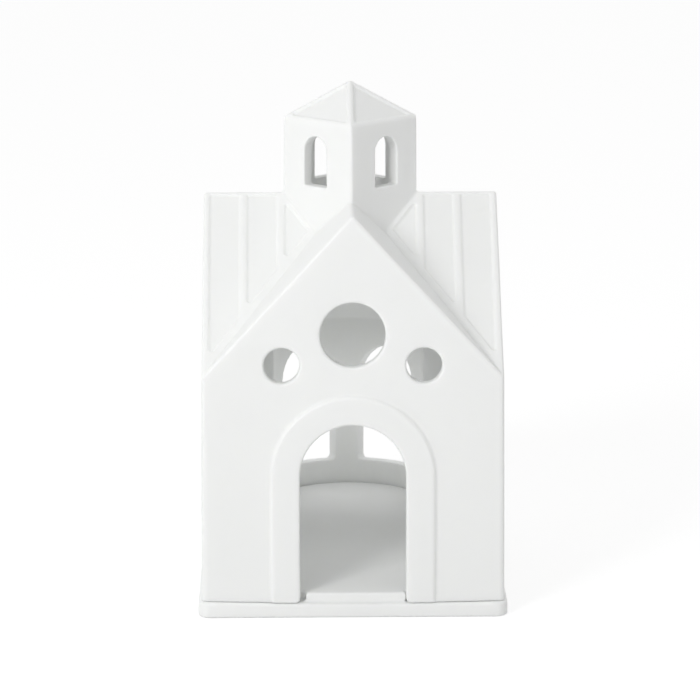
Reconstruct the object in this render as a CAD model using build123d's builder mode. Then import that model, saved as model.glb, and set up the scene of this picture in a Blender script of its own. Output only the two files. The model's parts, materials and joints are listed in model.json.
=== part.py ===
from build123d import *
from math import atan, cos, radians, sin, sqrt, tan
import os

# A porcelain tealight house in the shape of a small chapel: a hollow house shell that lifts
# off a base plate. Millimetres, +Z up, the front looks along -Y, and Z is the tower's axis.

# The base plate
slab_thickness = 5.2
slab_lip = 1.25
slab_corner_radius = 4.5
slab_top_radius = 1.1
slab_foot_radius = 0.8
plateau_rise = 3.4
plateau_gap = 0.8
plateau_corner_radius = 3.0
plateau_edge_radius = 0.8
threshold_setback = 2.0
threshold_gap = 1.1

# The nave: four equal gables over a square plan
nave_side = 112.0
wall = 4.5
draft_angle = 0.4
eave_height = 85.3
ridge_rise = 60.0
corner_radius = 2.0
ridge_radius = 1.5
rake_radius = 1.0
inner_corner_radius = 2.5

# The roof fields: shallow panels between raised seams, the ridge, the rakes, the valleys and
# the tower's foot
seam_count = 2
seam_width = 2.6
seam_tower_gap = 0.65
ridge_margin = 1.7
rake_margin = 2.1
valley_margin = 2.7
tower_margin = 1.55
field_recess = 0.8
field_corner_radius = 0.9

# The tower, turned by an eighth of a turn over the crossing
tower_turn = 45.0
tower_side = 36.0
tower_height = 28.1
tower_roof_rise = 13.6
tower_corner_radius = 1.6
tower_eave_radius = 1.9
tower_tip_radius = 1.0
tower_field_margin = 1.5
tower_window_width = 11.7
tower_window_sill = 3.4
tower_window_height = 18.7
tower_window_setback = 1.1

# The front: a door in a raised surround, and three round holes
door_width = 39.1
door_height = 67.5
door_edge_radius = 0.9
jamb_foot_radius = 2.0
surround_band = 10.8
surround_relief = 1.2
surround_edge_radius = 1.1
rose_radius = 12.0
rose_gap = 10.7
side_hole_radius = 6.6
side_hole_drop = 11.3
side_hole_offset = 26.1
hole_edge_radius = 0.9

# The choir and its round apse behind the nave
choir_length = 28.0
apse_inner_radius = 30.0
choir_eave_height = 74.8
light_width = 26.8
light_sill = 12.8
light_height = 49.0
light_turn = 35.2
light_corner_radius = 1.6

# How far a cutting body runs past what it cuts
overrun = 3.0

# Levels and slopes of the nave
foot = slab_thickness
eave = foot + eave_height
ridge = eave + ridge_rise
lean = tan(radians(draft_angle))
half_nave = nave_side / 2
half_ridge = half_nave - (ridge - foot) * lean
roof_slope = ridge_rise / (half_nave - eave_height * lean)
roof_pitch = atan(roof_slope)

# Levels and slopes of the tower
tower_top = ridge + tower_height + tower_roof_rise
tower_foot_side = tower_side + 2 * ridge_rise * lean
tower_eave_side = tower_side - 2 * tower_height * lean
tower_slope = 2 * tower_roof_rise / tower_eave_side
tower_pitch = atan(tower_slope)

# Levels of the round holes, which follow the top of the door's surround
rose_height = door_height + surround_band + rose_gap + rose_radius
side_hole_height = rose_height - side_hole_drop

# Levels of the choir, whose roof has the nave's slope
apse_y = half_nave + choir_length
apse_outer_radius = apse_inner_radius + wall
choir_ridge = foot + choir_eave_height + (apse_outer_radius - choir_eave_height * lean) * roof_slope

# The front wall's own plane, with its Y up the leaning wall from the foot
front_face = Plane(
    origin=(0, -half_nave, foot),
    x_dir=(1, 0, 0),
    z_dir=(0, -cos(radians(draft_angle)), sin(radians(draft_angle))),
)


def diagonal_planes(setback):
    """The two upright planes along the tower's sides, moved back from the tower's axis."""
    return [
        Plane(origin=(0, setback, 0), x_dir=(1, side, 0), z_dir=(side, -1, 0)) for side in (1, -1)
    ]


def arch(width, sill, crown):
    """Draw an upright opening with a round head in the sketch that is open."""
    springing = crown - width / 2
    with BuildLine() as outline:
        Polyline(
            (-width / 2, springing), (-width / 2, sill), (width / 2, sill), (width / 2, springing)
        )
        ThreePointArc((-width / 2, springing), (0, crown), (width / 2, springing))
    make_face(outline.line)


def gabled_section(foot_reach, bottom, top, slope):
    """Draw a gabled cross-section in the open sketch: leaning walls under two equal slopes."""
    eave_reach = (foot_reach - (top - bottom) * lean) / (1 - slope * lean)
    shoulder = top - eave_reach * slope
    Polygon(
        (-foot_reach, bottom),
        (foot_reach, bottom),
        (eave_reach, shoulder),
        (0, top),
        (-eave_reach, shoulder),
        align=None,
    )


def cross_gabled(side, bottom, top, radius):
    """The nave as a solid: leaning walls under two ridge roofs that cross, with soft edges."""
    with BuildPart() as arm:
        with BuildSketch(Plane.XY.offset(bottom)):
            Rectangle(side + 2 * wall, side)
        extrude(amount=top - bottom, taper=draft_angle)
        with BuildSketch(Plane.XZ) as section:
            gabled_section(side, bottom, top, roof_slope)
            fillet(section.vertices().sort_by(Axis.Y)[-1], radius=ridge_radius)
        extrude(amount=side, both=True, mode=Mode.INTERSECT)
        gable_edges = arm.edges().filter_by(Axis.Y, reverse=True)
        fillet(gable_edges.filter_by_position(Axis.Z, eave, top), radius=rake_radius)
    with BuildPart() as roofs:
        with PolarLocations(0, 2, angular_range=180):
            add(arm.part)
    with BuildPart() as block:
        with BuildSketch(Plane.XY.offset(bottom)):
            RectangleRounded(side, side, radius)
        extrude(amount=top - bottom, taper=draft_angle)
        add(roofs.part, mode=Mode.INTERSECT)
    return block.part


def pyramid_tower(side, bottom, top, radius):
    """The tower as a solid: a leaning square shaft under a four-sided roof with soft eaves."""
    with BuildPart() as block:
        with BuildSketch(Plane.XY.offset(bottom)):
            RectangleRounded(side, side, radius, rotation=tower_turn)
        extrude(amount=top - bottom, taper=draft_angle)
        for plane in diagonal_planes(0):
            with BuildSketch(plane) as section:
                gabled_section(side / 2, bottom, top, tower_slope)
                fillet(section.vertices().group_by(Axis.Y)[-2], radius=tower_eave_radius)
                fillet(section.vertices().sort_by(Axis.Y)[-1], radius=tower_tip_radius)
            extrude(amount=side, both=True, mode=Mode.INTERSECT)
    return block.part


def round_ended(radius, bottom, top):
    """The choir as a solid: a gabled hall from the crossing that ends in a half cone."""
    with BuildPart() as block:
        with BuildSketch(Plane.XZ.offset(-apse_y)) as section:
            gabled_section(radius, bottom, top, roof_slope)
            corners = section.vertices().group_by(Axis.Y)
            fillet(corners[1] + corners[2], radius=ridge_radius)
        extrude(amount=apse_y)
        with BuildSketch(Plane.XZ.offset(-apse_y)):
            add(section.sketch_local)
            split(bisect_by=Plane.YZ)
        revolve(axis=Axis((0, apse_y, 0), (0, 0, 1)))
    return block.part


def chapel_plan(growth, radius):
    """Draw nave, choir and apse in the open sketch, grown outwards from the walls' feet."""
    RectangleRounded(nave_side + 2 * growth, nave_side + 2 * growth, radius)
    with Locations((0, apse_y / 2)):
        Rectangle(2 * (apse_outer_radius + growth), apse_y)
    with Locations((0, apse_y)):
        Circle(apse_outer_radius + growth)


# The base plate: a rounded slab, and on it a plateau that finds the inside of the walls and
# runs out through the doorway as a threshold
with BuildPart() as base_plate:
    with BuildSketch():
        chapel_plan(slab_lip, slab_corner_radius)
    extrude(amount=slab_thickness)
    fillet(base_plate.edges().group_by(Axis.Z)[0], radius=slab_foot_radius)
    fillet(base_plate.edges().group_by(Axis.Z)[-1], radius=slab_top_radius)
    threshold_reach = half_nave - threshold_setback
    with BuildSketch(Plane.XY.offset(slab_thickness)):
        chapel_plan(-wall - plateau_gap, plateau_corner_radius)
        with Locations((0, -threshold_reach / 2)):
            Rectangle(door_width - 2 * threshold_gap, threshold_reach)
    extrude(amount=plateau_rise)
    fillet(base_plate.edges().group_by(Axis.Z)[-1], radius=plateau_edge_radius)
base_plate.part.label = "base_plate"

# The sunken fields of the roof slope that faces front, left and right of the tower and the
# front wing. The same slope at the back has them too, and the wings' own slopes are plain.
front_slope = Plane(
    origin=(0, 0, ridge), x_dir=(1, 0, 0), z_dir=(0, -sin(roof_pitch), cos(roof_pitch))
)
tower_line = tower_side / sqrt(2) + tower_margin * sqrt(2)
valley_line = valley_margin * sqrt(2)
field_top = ridge_margin * cos(roof_pitch)
field_end = half_ridge - rake_margin
field_plan = [
    ((tower_line + valley_line) / 2, (tower_line - valley_line) / 2),
    (tower_line - field_top, field_top),
    (field_end, field_top),
    (field_end, field_end - valley_line),
]
seam_start = tower_side / sqrt(2) + seam_tower_gap
seam_pitch = (half_ridge - rake_margin / 2 - seam_start) / seam_count
with BuildPart() as roof_fields:
    with BuildSketch(front_slope) as fields:
        with BuildLine():
            Polyline([(x, -y / cos(roof_pitch)) for x, y in field_plan], close=True)
        make_face()
        with Locations([(seam_start + index * seam_pitch, 0) for index in range(seam_count)]):
            Rectangle(seam_width, nave_side + ridge_rise, mode=Mode.SUBTRACT)
        fillet(fields.vertices(), radius=field_corner_radius)
        mirror(about=Plane.YZ)
    extrude(amount=-field_recess)

# The sunken triangle on one side of the tower's roof
tower_slope_face = Plane(
    origin=(0, 0, tower_top), x_dir=(1, 0, 0), z_dir=(0, -sin(tower_pitch), cos(tower_pitch))
)
with BuildPart() as tower_field:
    with BuildSketch(tower_slope_face):
        with BuildLine():
            Polyline(
                (0, 0),
                (tower_eave_side / 2, -tower_eave_side / 2 / cos(tower_pitch)),
                (-tower_eave_side / 2, -tower_eave_side / 2 / cos(tower_pitch)),
                close=True,
            )
        make_face()
        offset(amount=-tower_field_margin, kind=Kind.INTERSECTION, mode=Mode.REPLACE)
    extrude(amount=-field_recess)

# The raised surround of the door, bedded in the front wall
with BuildPart() as surround:
    with BuildSketch(front_face.offset(-wall / 2)):
        arch(door_width + 2 * surround_band, -overrun, door_height + surround_band)
    extrude(amount=wall / 2 + surround_relief)
    front_edges = surround.faces().sort_by(Axis.Y)[0].edges()
    fillet(front_edges.sort_by(Axis.Z)[1:], radius=surround_edge_radius)
    split(bisect_by=Plane.XY.offset(foot))

# The house shell: solid masses first, then one hollow of even wall, then the openings
with BuildPart() as house_shell:
    add(cross_gabled(nave_side, foot, ridge, corner_radius))
    with PolarLocations(0, 2):
        add(roof_fields.part, mode=Mode.SUBTRACT)
    add(round_ended(apse_outer_radius, foot, choir_ridge))
    add(pyramid_tower(tower_foot_side, eave, tower_top, tower_corner_radius))
    with PolarLocations(0, 4, start_angle=tower_turn):
        add(tower_field.part, mode=Mode.SUBTRACT)
    add(surround.part)

    roof_drop = wall / cos(roof_pitch)
    tower_drop = wall / cos(tower_pitch)
    inside = nave_side - 2 * wall
    tower_inside = tower_foot_side - 2 * wall
    add(cross_gabled(inside, foot, ridge - roof_drop, inner_corner_radius), mode=Mode.SUBTRACT)
    add(round_ended(apse_inner_radius, foot, choir_ridge - roof_drop), mode=Mode.SUBTRACT)
    add(
        pyramid_tower(tower_inside, eave, tower_top - tower_drop, tower_corner_radius),
        mode=Mode.SUBTRACT,
    )

    # The door, then the rose window and its two small companions
    with BuildSketch(front_face.offset(surround_relief + overrun)):
        arch(door_width, -overrun, door_height)
        with Locations((0, rose_height)):
            Circle(rose_radius)
        with Locations((-side_hole_offset, side_hole_height), (side_hole_offset, side_hole_height)):
            Circle(side_hole_radius)
    extrude(amount=-wall - surround_relief - 2 * overrun, mode=Mode.SUBTRACT)

    # Two tall lights in the apse wall, either side of its middle
    for turn in (-radians(light_turn), radians(light_turn)):
        apse_plane = Plane(
            origin=(0, apse_y, foot), x_dir=(-cos(turn), sin(turn), 0), z_dir=(sin(turn), cos(turn), 0)
        )
        with BuildSketch(apse_plane) as light:
            arch(light_width, light_sill, light_sill + light_height)
            fillet(light.vertices().group_by(Axis.Y)[0], radius=light_corner_radius)
        extrude(amount=apse_outer_radius + overrun, mode=Mode.SUBTRACT)

    # A round-headed window in each side of the tower, cut right through in pairs, a little
    # behind the middle of the tower
    window_sill = ridge + tower_window_sill
    for plane in diagonal_planes(tower_window_setback):
        with BuildSketch(plane):
            arch(tower_window_width, window_sill, window_sill + tower_window_height)
        extrude(amount=tower_side / 2 + overrun, both=True, mode=Mode.SUBTRACT)

    # Softened rims of the round holes
    rims = house_shell.edges().filter_by(GeomType.CIRCLE)
    for radius in (rose_radius, side_hole_radius):
        same = rims.filter_by(lambda rim: abs(rim.radius - radius) < hole_edge_radius / 2)
        fillet(same.group_by(Axis.Y)[0], radius=hole_edge_radius)

    # The doorway's two legs get rounded feet, then its whole rim is softened
    jamb_reach = door_width / 2 + door_edge_radius / 2
    foot_edges = house_shell.edges().group_by(Axis.Z)[0]
    front_foot = foot_edges.filter_by_position(Axis.Y, -nave_side, 0)
    fillet(front_foot.filter_by_position(Axis.X, -jamb_reach, jamb_reach), radius=jamb_foot_radius)
    front_lines = house_shell.faces().sort_by(Axis.Y)[0].edges().filter_by(GeomType.LINE)
    fillet(front_lines.filter_by_position(Axis.X, -jamb_reach, jamb_reach), radius=door_edge_radius)
house_shell.part.label = "house_shell"

os.makedirs("parts", exist_ok=True)
export_step(base_plate.part, "parts/base_plate.step")
export_step(house_shell.part, "parts/house_shell.step")
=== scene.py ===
import json

import bpy
from math import radians
from mathutils import Matrix, Vector, noise

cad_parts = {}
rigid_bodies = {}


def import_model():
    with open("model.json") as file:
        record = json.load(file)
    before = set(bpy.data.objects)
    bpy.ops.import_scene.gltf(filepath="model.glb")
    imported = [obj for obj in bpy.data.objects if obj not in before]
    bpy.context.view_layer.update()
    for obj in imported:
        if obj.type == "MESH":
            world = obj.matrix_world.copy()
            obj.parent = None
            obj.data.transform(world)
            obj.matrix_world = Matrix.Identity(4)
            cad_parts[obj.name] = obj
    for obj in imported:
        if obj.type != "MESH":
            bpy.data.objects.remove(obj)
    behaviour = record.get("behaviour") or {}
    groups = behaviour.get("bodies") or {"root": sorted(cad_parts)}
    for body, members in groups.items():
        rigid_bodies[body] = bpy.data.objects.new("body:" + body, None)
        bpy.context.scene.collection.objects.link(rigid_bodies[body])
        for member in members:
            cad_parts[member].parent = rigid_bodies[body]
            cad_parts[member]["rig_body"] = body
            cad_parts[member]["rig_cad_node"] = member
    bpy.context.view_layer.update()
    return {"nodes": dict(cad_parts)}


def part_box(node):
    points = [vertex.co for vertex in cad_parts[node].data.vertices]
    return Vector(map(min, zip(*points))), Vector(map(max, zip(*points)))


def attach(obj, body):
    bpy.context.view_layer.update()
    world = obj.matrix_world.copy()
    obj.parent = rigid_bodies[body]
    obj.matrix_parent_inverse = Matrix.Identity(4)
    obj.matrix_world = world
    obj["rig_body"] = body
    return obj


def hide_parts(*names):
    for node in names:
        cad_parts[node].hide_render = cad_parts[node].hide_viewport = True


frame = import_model()

# The camera: a long lens 1.4 m in front of the door and a little to its left, tipped 12 degrees
# down, in the place that was fitted to the photograph.
camera_place = Vector((-0.02001, -1.37478, 0.38619))
camera_aim = Vector((0.01408551, 0.97731071, -0.21134186))
camera_roll = radians(0.121)
camera_sensor = 36
camera_lens = 190.55
camera_nearest = 0.05
camera_farthest = 20

bpy.ops.object.camera_add(location=camera_place)
camera = bpy.context.object
camera.name = "camera"
camera.data.sensor_width = camera_sensor
camera.data.lens = camera_lens
camera.data.clip_start = camera_nearest
camera.data.clip_end = camera_farthest
turn = camera_aim.to_track_quat("-Z", "Y").to_matrix() @ Matrix.Rotation(-camera_roll, 3, "Z")
camera.rotation_euler = turn.to_euler()
bpy.context.scene.camera = camera
bpy.context.scene.view_settings.view_transform = "Standard"

# The light: one large softbox from the upper left in front, and an even pale room round it,
# brighter behind, where a lit backdrop hangs. The backdrop is plain white where it is seen.
softbox_aim = Vector((0, 0, 0.1))
softbox_way = Vector((-0.55, -0.85, 0.53)).normalized()
softbox_distance = 1.2
softbox_size = 0.34
softbox_power = 5.2
room_light = 0.57
backdrop_light = 0.29
backdrop_edges = (-0.2, 0.6)
soaked_size = 0.015
soaked_lights = (((0, -0.01, 0.065), 0.0165), ((0, 0.092, 0.045), 0.006))

bpy.ops.object.light_add(type="AREA", location=softbox_aim + softbox_way * softbox_distance)
softbox = bpy.context.object
softbox.name = "softbox"
softbox.data.shape = "SQUARE"
softbox.data.size = softbox_size
softbox.data.energy = softbox_power
softbox.rotation_euler = softbox_way.to_track_quat("Z", "Y").to_euler()

# Two faint lamps, in the nave and the choir, stand for the light that soaks through thin walls.
for place, power in soaked_lights:
    bpy.ops.object.light_add(type="POINT", location=place)
    soaked = bpy.context.object
    soaked.name = "soaked light"
    soaked.data.shadow_soft_size = soaked_size
    soaked.data.energy = power
    soaked.visible_camera = False
    soaked.visible_glossy = False


def seen_directly(nodes, links):
    """One where the camera, a reflection or glass looks straight at a surface, else nought."""
    ray = nodes.new("ShaderNodeLightPath")
    found = ray.outputs["Is Camera Ray"]
    for kind in ("Is Glossy Ray", "Is Transmission Ray"):
        either = nodes.new("ShaderNodeMath")
        either.operation = "MAXIMUM"
        links.new(found, either.inputs[0])
        links.new(ray.outputs[kind], either.inputs[1])
        found = either.outputs[0]
    return found


room = bpy.data.worlds.new("pale room")
bpy.context.scene.world = room
room.use_nodes = True
nodes = room.node_tree.nodes
links = room.node_tree.links
nodes.clear()
place = nodes.new("ShaderNodeTexCoord")
parts = nodes.new("ShaderNodeSeparateXYZ")
links.new(place.outputs["Generated"], parts.inputs[0])
behind = nodes.new("ShaderNodeMapRange")
behind.interpolation_type = "SMOOTHSTEP"
behind.inputs["From Min"].default_value = backdrop_edges[0]
behind.inputs["From Max"].default_value = backdrop_edges[1]
behind.inputs["To Min"].default_value = room_light
behind.inputs["To Max"].default_value = room_light + backdrop_light
links.new(parts.outputs["Y"], behind.inputs["Value"])
lit = nodes.new("ShaderNodeBackground")
lit.inputs["Color"].default_value = (1, 1, 1, 1)
links.new(behind.outputs["Result"], lit.inputs["Strength"])
white = nodes.new("ShaderNodeBackground")
white.inputs["Color"].default_value = (1, 1, 1, 1)
white.inputs["Strength"].default_value = 1
mix = nodes.new("ShaderNodeMixShader")
links.new(seen_directly(nodes, links), mix.inputs["Fac"])
links.new(lit.outputs[0], mix.inputs[1])
links.new(white.outputs[0], mix.inputs[2])
out = nodes.new("ShaderNodeOutputWorld")
links.new(mix.outputs[0], out.inputs["Surface"])

# The floor: a wide white table top under the plate. Where it is seen it glows a little, so that
# it is white round the object and still holds the object's soft shadow.
floor_side = 8
floor_paint = 0.87
floor_seen_paint = 0.4
floor_glow = 0.7

bpy.ops.object.select_all(action="DESELECT")
bpy.ops.mesh.primitive_plane_add(size=floor_side, location=(0, 0, 0))
floor = bpy.context.object
floor.name = "floor"
table_top = bpy.data.materials.new("white table top")
table_top.use_nodes = True
nodes = table_top.node_tree.nodes
links = table_top.node_tree.links
nodes.clear()
paint = nodes.new("ShaderNodeBsdfDiffuse")
paint.inputs["Color"].default_value = (floor_paint, floor_paint, floor_paint, 1)
seen_paint = nodes.new("ShaderNodeBsdfDiffuse")
seen_paint.inputs["Color"].default_value = (floor_seen_paint, floor_seen_paint, floor_seen_paint, 1)
glow = nodes.new("ShaderNodeEmission")
glow.inputs["Strength"].default_value = floor_glow
both = nodes.new("ShaderNodeAddShader")
links.new(seen_paint.outputs[0], both.inputs[0])
links.new(glow.outputs[0], both.inputs[1])
mix = nodes.new("ShaderNodeMixShader")
links.new(seen_directly(nodes, links), mix.inputs["Fac"])
links.new(paint.outputs[0], mix.inputs[1])
links.new(both.outputs[0], mix.inputs[2])
out = nodes.new("ShaderNodeOutputMaterial")
links.new(mix.outputs[0], out.inputs["Surface"])
floor.data.materials.append(table_top)

# The base plate: one rounded slab of white porcelain with a plateau that finds the inside of the
# walls. It is cast in a plaster mould, sponged at its edges and fired without a glaze.
clear_white = (0.904, 0.911, 0.903, 1)
cloudy_white = (0.879, 0.888, 0.878, 1)
# A painted highlight: a lighter white laid along every edge of the porcelain.
painted_highlight_white = (0.92, 0.926, 0.919, 1)
plate_roughness = 0.6
roughness_spread = 0.08
cloud_detail = 3
grain_detail = 4
grain_sharpness = 0.65
pinhole_reach = (0.02, 0.14)
edge_width = 0.0008
edge_bends = (0.99, 0.9)
clay_index = 1.5
clay_depth_weight = 0.5
clay_depth_colors = (1, 1, 0.95)
clay_depth = 0.0025
tooth_strength = 0.4
tooth_height = 0.00006
merge_distance = 0.000005
sponge_voxel = 0.00045
sponge_rounds = 1
sponge_share = 0.5
swell_height = 0.00013
swell_scale = 28
swell_seed = 1
kiln_curl = 0.0007
kiln_tilt = -0.0002
kiln_curl_height = 0.035
plateau_shift = 0.0007
plateau_ramp = 0.0006
threshold_shift = 0.0003
threshold_start = -0.0512
plate_triangles = 60000
seat_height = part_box("house_shell")[0][2]
half_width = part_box("house_shell")[1][0]
noise.seed_set(swell_seed)

cast = bpy.data.node_groups.new("slip cast surface", "ShaderNodeTree")
for name, kind, value in (
    ("Vector", "NodeSocketVector", None),
    ("Clear Color", "NodeSocketColor", clear_white),
    ("Cloudy Color", "NodeSocketColor", cloudy_white),
    ("Cloud Scale", "NodeSocketFloat", 30),
    ("Grain Scale", "NodeSocketFloat", 2600),
    ("Grain Height", "NodeSocketFloat", 0.35),
    ("Pit Scale", "NodeSocketFloat", 420),
    ("Pit Height", "NodeSocketFloat", 0.5),
    ("Roughness", "NodeSocketFloat", 0.6),
):
    socket = cast.interface.new_socket(name, in_out="INPUT", socket_type=kind)
    if value is not None:
        socket.default_value = value
for name, kind in (
    ("Color", "NodeSocketColor"),
    ("Roughness", "NodeSocketFloat"),
    ("Height", "NodeSocketFloat"),
):
    cast.interface.new_socket(name, in_out="OUTPUT", socket_type=kind)
nodes = cast.nodes
links = cast.links
given = nodes.new("NodeGroupInput")
made = nodes.new("NodeGroupOutput")
clouds = nodes.new("ShaderNodeTexNoise")
clouds.inputs["Detail"].default_value = cloud_detail
links.new(given.outputs["Vector"], clouds.inputs["Vector"])
links.new(given.outputs["Cloud Scale"], clouds.inputs["Scale"])
tint = nodes.new("ShaderNodeMix")
tint.data_type = "RGBA"
links.new(clouds.outputs["Fac"], tint.inputs["Factor"])
links.new(given.outputs["Clear Color"], tint.inputs["A"])
links.new(given.outputs["Cloudy Color"], tint.inputs["B"])
links.new(tint.outputs["Result"], made.inputs["Color"])
grain = nodes.new("ShaderNodeTexNoise")
grain.inputs["Detail"].default_value = grain_detail
grain.inputs["Roughness"].default_value = grain_sharpness
links.new(given.outputs["Vector"], grain.inputs["Vector"])
links.new(given.outputs["Grain Scale"], grain.inputs["Scale"])
tooth = nodes.new("ShaderNodeMath")
tooth.operation = "MULTIPLY"
links.new(grain.outputs["Fac"], tooth.inputs[0])
links.new(given.outputs["Grain Height"], tooth.inputs[1])
pits = nodes.new("ShaderNodeTexVoronoi")
links.new(given.outputs["Vector"], pits.inputs["Vector"])
links.new(given.outputs["Pit Scale"], pits.inputs["Scale"])
pinhole = nodes.new("ShaderNodeMapRange")
pinhole.inputs["From Min"].default_value = pinhole_reach[0]
pinhole.inputs["From Max"].default_value = pinhole_reach[1]
links.new(pits.outputs["Distance"], pinhole.inputs["Value"])
depth = nodes.new("ShaderNodeMath")
depth.operation = "MULTIPLY_ADD"
links.new(pinhole.outputs["Result"], depth.inputs[0])
links.new(given.outputs["Pit Height"], depth.inputs[1])
links.new(tooth.outputs[0], depth.inputs[2])
links.new(depth.outputs[0], made.inputs["Height"])
uneven = nodes.new("ShaderNodeMapRange")
uneven.inputs["To Min"].default_value = -roughness_spread
uneven.inputs["To Max"].default_value = roughness_spread
links.new(clouds.outputs["Fac"], uneven.inputs["Value"])
rough = nodes.new("ShaderNodeMath")
rough.operation = "ADD"
links.new(given.outputs["Roughness"], rough.inputs[0])
links.new(uneven.outputs["Result"], rough.inputs[1])
links.new(rough.outputs[0], made.inputs["Roughness"])

# Edges found with a bevel get two things. Their lower roughness is the polish that sponging leaves.
# Their lighter colour is a painted highlight along every edge, inside corners too.
edge_polish_and_highlight = bpy.data.node_groups.new("edge polish and painted highlight", "ShaderNodeTree")
for name, kind, value in (
    ("Color", "NodeSocketColor", clear_white),
    ("Painted Highlight Color", "NodeSocketColor", painted_highlight_white),
    ("Roughness", "NodeSocketFloat", 0.6),
    ("Polish", "NodeSocketFloat", 0.16),
    ("Width", "NodeSocketFloat", edge_width),
):
    edge_polish_and_highlight.interface.new_socket(name, in_out="INPUT", socket_type=kind).default_value = value
edge_polish_and_highlight.interface.new_socket("Color", in_out="OUTPUT", socket_type="NodeSocketColor")
edge_polish_and_highlight.interface.new_socket("Roughness", in_out="OUTPUT", socket_type="NodeSocketFloat")
nodes = edge_polish_and_highlight.nodes
links = edge_polish_and_highlight.links
given = nodes.new("NodeGroupInput")
made = nodes.new("NodeGroupOutput")
rounded = nodes.new("ShaderNodeBevel")
links.new(given.outputs["Width"], rounded.inputs["Radius"])
true = nodes.new("ShaderNodeNewGeometry")
agree = nodes.new("ShaderNodeVectorMath")
agree.operation = "DOT_PRODUCT"
links.new(rounded.outputs["Normal"], agree.inputs[0])
links.new(true.outputs["Normal"], agree.inputs[1])
edge = nodes.new("ShaderNodeMapRange")
edge.inputs["From Min"].default_value = edge_bends[0]
edge.inputs["From Max"].default_value = edge_bends[1]
links.new(agree.outputs["Value"], edge.inputs["Value"])
# Painted highlight: the edges are mixed towards a lighter white.
tint = nodes.new("ShaderNodeMix")
tint.data_type = "RGBA"
links.new(edge.outputs["Result"], tint.inputs["Factor"])
links.new(given.outputs["Color"], tint.inputs["A"])
links.new(given.outputs["Painted Highlight Color"], tint.inputs["B"])
links.new(tint.outputs["Result"], made.inputs["Color"])
polish = nodes.new("ShaderNodeMath")
polish.operation = "MULTIPLY"
links.new(edge.outputs["Result"], polish.inputs[0])
links.new(given.outputs["Polish"], polish.inputs[1])
smoother = nodes.new("ShaderNodeMath")
smoother.operation = "SUBTRACT"
links.new(given.outputs["Roughness"], smoother.inputs[0])
links.new(polish.outputs[0], smoother.inputs[1])
links.new(smoother.outputs[0], made.inputs["Roughness"])


def porcelain(name, roughness):
    """A matt white porcelain: its faint clouds, tooth and pinholes, and its edges, smoother from
    sponging and lighter from a painted highlight.
    """
    material = bpy.data.materials.new(name)
    material.use_nodes = True
    nodes = material.node_tree.nodes
    links = material.node_tree.links
    body = nodes["Principled BSDF"]
    body.inputs["IOR"].default_value = clay_index
    body.inputs["Subsurface Weight"].default_value = clay_depth_weight
    body.inputs["Subsurface Radius"].default_value = clay_depth_colors
    body.inputs["Subsurface Scale"].default_value = clay_depth
    place = nodes.new("ShaderNodeTexCoord")
    surface = nodes.new("ShaderNodeGroup")
    surface.node_tree = cast
    surface.inputs["Roughness"].default_value = roughness
    # The edges get their smoother polish and their painted highlight here.
    edges = nodes.new("ShaderNodeGroup")
    edges.node_tree = edge_polish_and_highlight
    bump = nodes.new("ShaderNodeBump")
    bump.inputs["Strength"].default_value = tooth_strength
    bump.inputs["Distance"].default_value = tooth_height
    links.new(place.outputs["Object"], surface.inputs["Vector"])
    links.new(surface.outputs["Color"], edges.inputs["Color"])
    links.new(surface.outputs["Roughness"], edges.inputs["Roughness"])
    links.new(edges.outputs["Color"], body.inputs["Base Color"])
    links.new(edges.outputs["Roughness"], body.inputs["Roughness"])
    links.new(surface.outputs["Height"], bump.inputs["Height"])
    links.new(bump.outputs["Normal"], body.inputs["Normal"])
    return material


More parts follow.
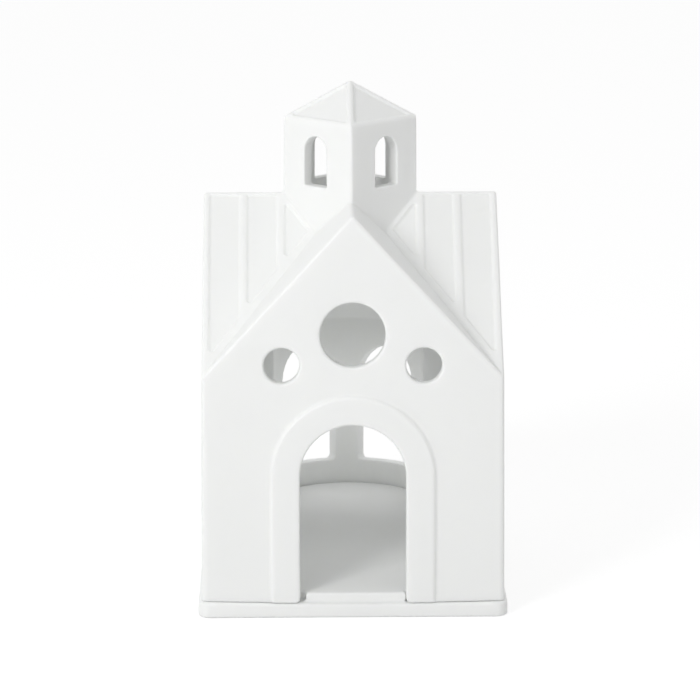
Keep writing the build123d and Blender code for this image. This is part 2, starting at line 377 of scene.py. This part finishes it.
def sponged(node, name, triangles):
    """A merged copy of a cast piece whose edges are worn soft, as sponging the clay does."""
    piece = frame["nodes"][node].copy()
    piece.data = piece.data.copy()
    piece.name = name
    piece.parent = None
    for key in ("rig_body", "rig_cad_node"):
        del piece[key]
    bpy.context.collection.objects.link(piece)
    bpy.ops.object.select_all(action="DESELECT")
    piece.select_set(True)
    bpy.context.view_layer.objects.active = piece
    bpy.ops.object.mode_set(mode="EDIT")
    bpy.ops.mesh.select_all(action="SELECT")
    bpy.ops.mesh.remove_doubles(threshold=merge_distance)
    bpy.ops.object.mode_set(mode="OBJECT")
    clay = piece.modifiers.new("clay", "REMESH")
    clay.mode = "VOXEL"
    clay.voxel_size = sponge_voxel
    bpy.ops.object.modifier_apply(modifier=clay.name)
    rub = piece.modifiers.new("sponge", "SMOOTH")
    rub.factor = sponge_share
    rub.iterations = sponge_rounds
    bpy.ops.object.modifier_apply(modifier=rub.name)
    thin = piece.modifiers.new("thin", "DECIMATE")
    thin.ratio = min(1, triangles / (2 * len(piece.data.polygons)))
    bpy.ops.object.modifier_apply(modifier=thin.name)
    bpy.ops.object.shade_smooth()
    return piece


def kiln_fired(piece):
    """Give a cast piece its slightly uneven walls, and the curl of plate and foot in the kiln."""
    for vertex in piece.data.vertices:
        swell = noise.noise_vector(vertex.co * swell_scale) * swell_height
        across = vertex.co.x / half_width
        height = vertex.co.z - seat_height
        hold = 1 + height / seat_height if height < 0 else max(0, 1 - height / kiln_curl_height)
        lift = (kiln_curl * across * across + kiln_tilt * across) * hold * hold
        vertex.co += Vector((swell.x, swell.y, lift))


def set_down(plate):
    """Let the house stand as far to the left as plateau and threshold let it, as it does here."""
    for vertex in plate.data.vertices:
        up = min(1, max(0, (vertex.co.z - seat_height) / plateau_ramp))
        out = min(1, max(0, (threshold_start - vertex.co.y) / plateau_ramp))
        vertex.co.x += up * (plateau_shift + out * threshold_shift)


plate_porcelain = porcelain("matt white porcelain of the plate", plate_roughness)
plate = sponged("base_plate", "plate", plate_triangles)
set_down(plate)
kiln_fired(plate)
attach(plate, "plate")
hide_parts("base_plate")
plate.data.materials.clear()
plate.data.materials.append(plate_porcelain)

# The house: one hollow shell of the same porcelain, slip cast in a mould of several parts. Its
# walls, roofs, tower and door surround run into each other with soft inside corners.
seam_gap = 0.00016
seam_gap_height = 0.006
seam_left_share = 0.5
house_roughness = 0.58
house_triangles = 190000


def rocked(house):
    """Open the seam under the house by a hair, more to the right, where the foot isn't true."""
    for vertex in house.data.vertices:
        across = vertex.co.x / half_width
        height = max(0, vertex.co.z - seat_height)
        hold = max(0, 1 - height / seam_gap_height)
        vertex.co.z += seam_gap * hold * (seam_left_share + (1 - seam_left_share) * max(0, across))


house_porcelain = porcelain("matt white porcelain of the house", house_roughness)
house = sponged("house_shell", "house", house_triangles)
rocked(house)
kiln_fired(house)
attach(house, "house")
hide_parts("house_shell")
house.data.materials.clear()
house.data.materials.append(house_porcelain)
